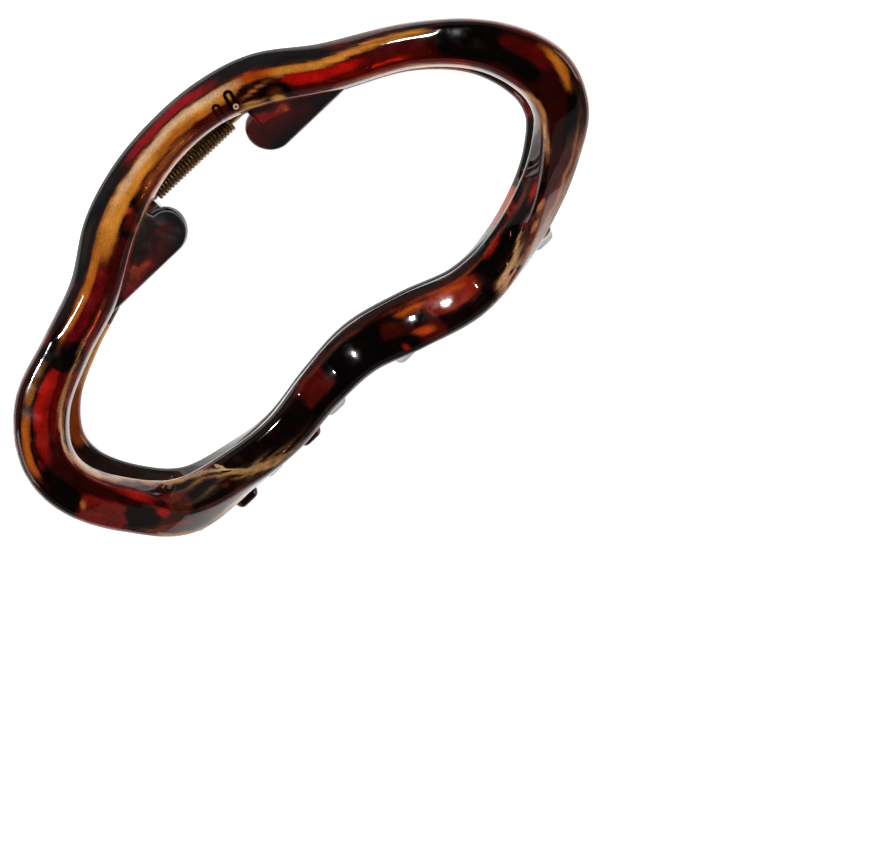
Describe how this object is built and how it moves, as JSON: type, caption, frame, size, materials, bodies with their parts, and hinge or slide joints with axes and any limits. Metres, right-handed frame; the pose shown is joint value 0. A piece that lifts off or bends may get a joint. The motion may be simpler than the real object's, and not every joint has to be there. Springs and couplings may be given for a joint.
{
  "type": "hair claw clip",
  "caption": "Open-ring hair claw clip: two moulded wave-shaped ring jaws with interlocking teeth, a hinge pin and a torsion spring that closes them.",
  "frame": {"origin": "centre of the outline, on the face the back jaw lies on", "axes": "+X along the hinge pin, +Y from the tooth bar to the thumb arch, +Z out of the front jaw"},
  "size_m": [0.1094, 0.06, 0.034],
  "materials": {
    "tortoiseshell_front": "polished translucent tortoiseshell",
    "tortoiseshell_back": "polished translucent tortoiseshell",
    "pin_metal": "antique",
    "spring_wire": "antique"
  },
  "bodies": {
    "back": {"back_jaw": "tortoiseshell_back", "hinge_pin": "pin_metal", "torsion_spring": "spring_wire"},
    "front": {"front_jaw": "tortoiseshell_front"}
  },
  "joints": [
    {"name": "jaw_hinge", "type": "hinge", "parent": "back", "child": "front", "pos_m": [0, 0.02166, 0.01698], "axis": [-1, 0, 0], "range_deg": [0, 50], "stiffness_Nm_per_rad": 0.06, "springref_deg": -51.57, "deforming": ["torsion_spring"]}
  ]
}
